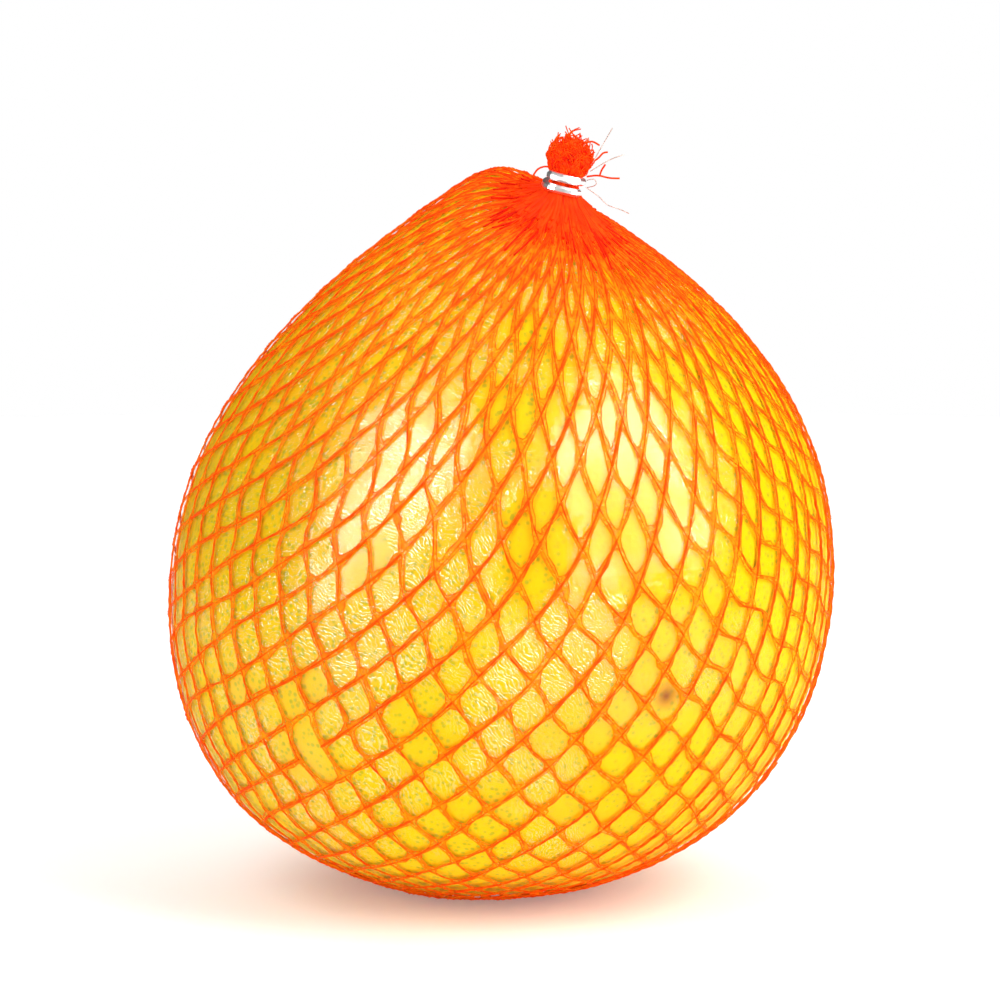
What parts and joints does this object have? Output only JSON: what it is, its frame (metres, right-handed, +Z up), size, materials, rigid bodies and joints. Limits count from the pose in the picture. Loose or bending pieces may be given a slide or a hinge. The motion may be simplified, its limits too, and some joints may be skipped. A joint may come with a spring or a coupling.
{
  "type": "pomelo in a net bag",
  "caption": "Pear-shaped yellow pomelo in clear film and an orange knitted net bag, closed by wire clips, standing on its blossom end.",
  "frame": {"origin": "on the table, under the centre of the fruit's widest ring", "axes": "+Z up from the blossom end to the crown, -Y towards the front, +X to the side that the neck of the net leans to"},
  "size_m": [0.15, 0.149, 0.173],
  "materials": {
    "pomelo_peel": "satin, waxy, with fine oil glands",
    "clear_film": "clear, glossy, finely crinkled",
    "orange_yarn": "translucent knitted yarn",
    "aluminium_wire": "bright drawn wire"
  },
  "bodies": {
    "root": {"pomelo_fruit": "pomelo_peel", "film_wrap": "clear_film", "net": "orange_yarn", "clip_top": "aluminium_wire", "clip_bottom": "aluminium_wire"}
  },
  "joints": []
}
